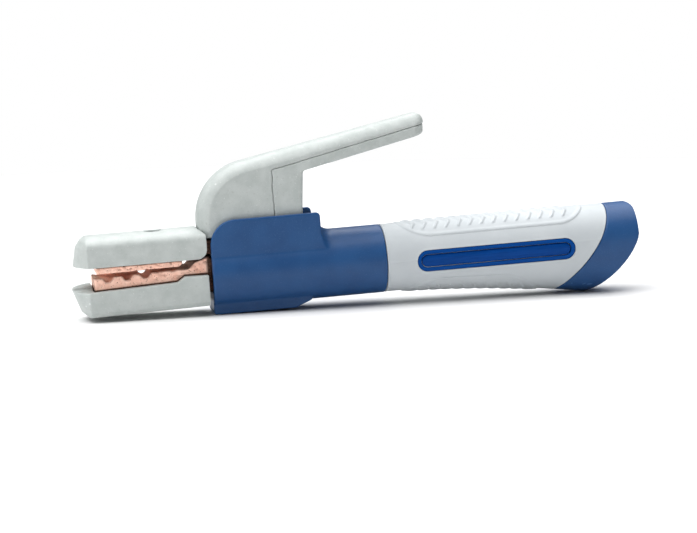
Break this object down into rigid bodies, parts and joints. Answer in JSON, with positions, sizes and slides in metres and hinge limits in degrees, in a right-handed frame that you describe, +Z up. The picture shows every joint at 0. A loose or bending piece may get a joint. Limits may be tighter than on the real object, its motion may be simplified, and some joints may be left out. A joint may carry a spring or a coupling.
{
  "type": "electrode holder",
  "caption": "Stick-welding electrode holder: a sprung lever lifts an insulated copper jaw off a fixed one; blue housing, soft grey grip and a cable socket behind the rear cap.",
  "frame": {"origin": "under the middle of the holder, level with the lowest point of the rear cap", "axes": "+X from the jaws along the handle to the cable end, +Y across to the left side, +Z up towards the lever"},
  "size_m": [0.258, 0.0326, 0.0886],
  "materials": {
    "copper": "rough cast copper, sanded gripping faces",
    "brass": "plain turned brass",
    "steel": "zinc-plated steel",
    "blue_plastic": "fine-textured dark blue moulding",
    "grey_plastic": "matt grey glass-filled moulding",
    "grip_rubber": "soft light-grey elastomer",
    "badge_blue": "glossy deep blue label",
    "dark_plastic": "black insulating plastic"
  },
  "bodies": {
    "holder": {"lower_jaw": "copper", "lower_jaw_insulator": "grey_plastic", "lower_insulator_screw": "steel", "front_housing": "blue_plastic", "housing_screw": "steel", "handle_tube": "blue_plastic", "handle_lock_screw": "steel", "grip_sleeve": "grip_rubber", "rear_cap": "blue_plastic", "badge_frame_left": "blue_plastic", "badge_frame_right": "blue_plastic", "badge_plate_left": "badge_blue", "badge_plate_right": "badge_blue", "cable_socket": "brass", "cable_screw_1": "steel", "cable_screw_2": "steel", "cable_pressure_plate": "copper", "pivot_pin": "steel", "pivot_clip_left": "steel", "pivot_clip_right": "steel", "spring": "steel", "spring_seat_lower": "dark_plastic"},
    "lever": {"lever_core": "copper", "upper_jaw": "copper", "upper_jaw_insulator": "grey_plastic", "upper_insulator_screw": "steel", "lever_shell": "grey_plastic", "lever_under_cover": "grey_plastic", "lever_cover_screw_1": "steel", "lever_cover_screw_2": "steel", "pivot_bush": "dark_plastic", "spring_seat_upper": "dark_plastic"}
  },
  "joints": [
    {"name": "lever_pivot", "type": "hinge", "parent": "holder", "child": "lever", "pos_m": [-0.0485, 0, 0.0336], "axis": [0, 1, 0], "range_deg": [0, 16], "stiffness_Nm_per_rad": 3, "springref_deg": -38.22, "deforming": ["spring"]}
  ]
}
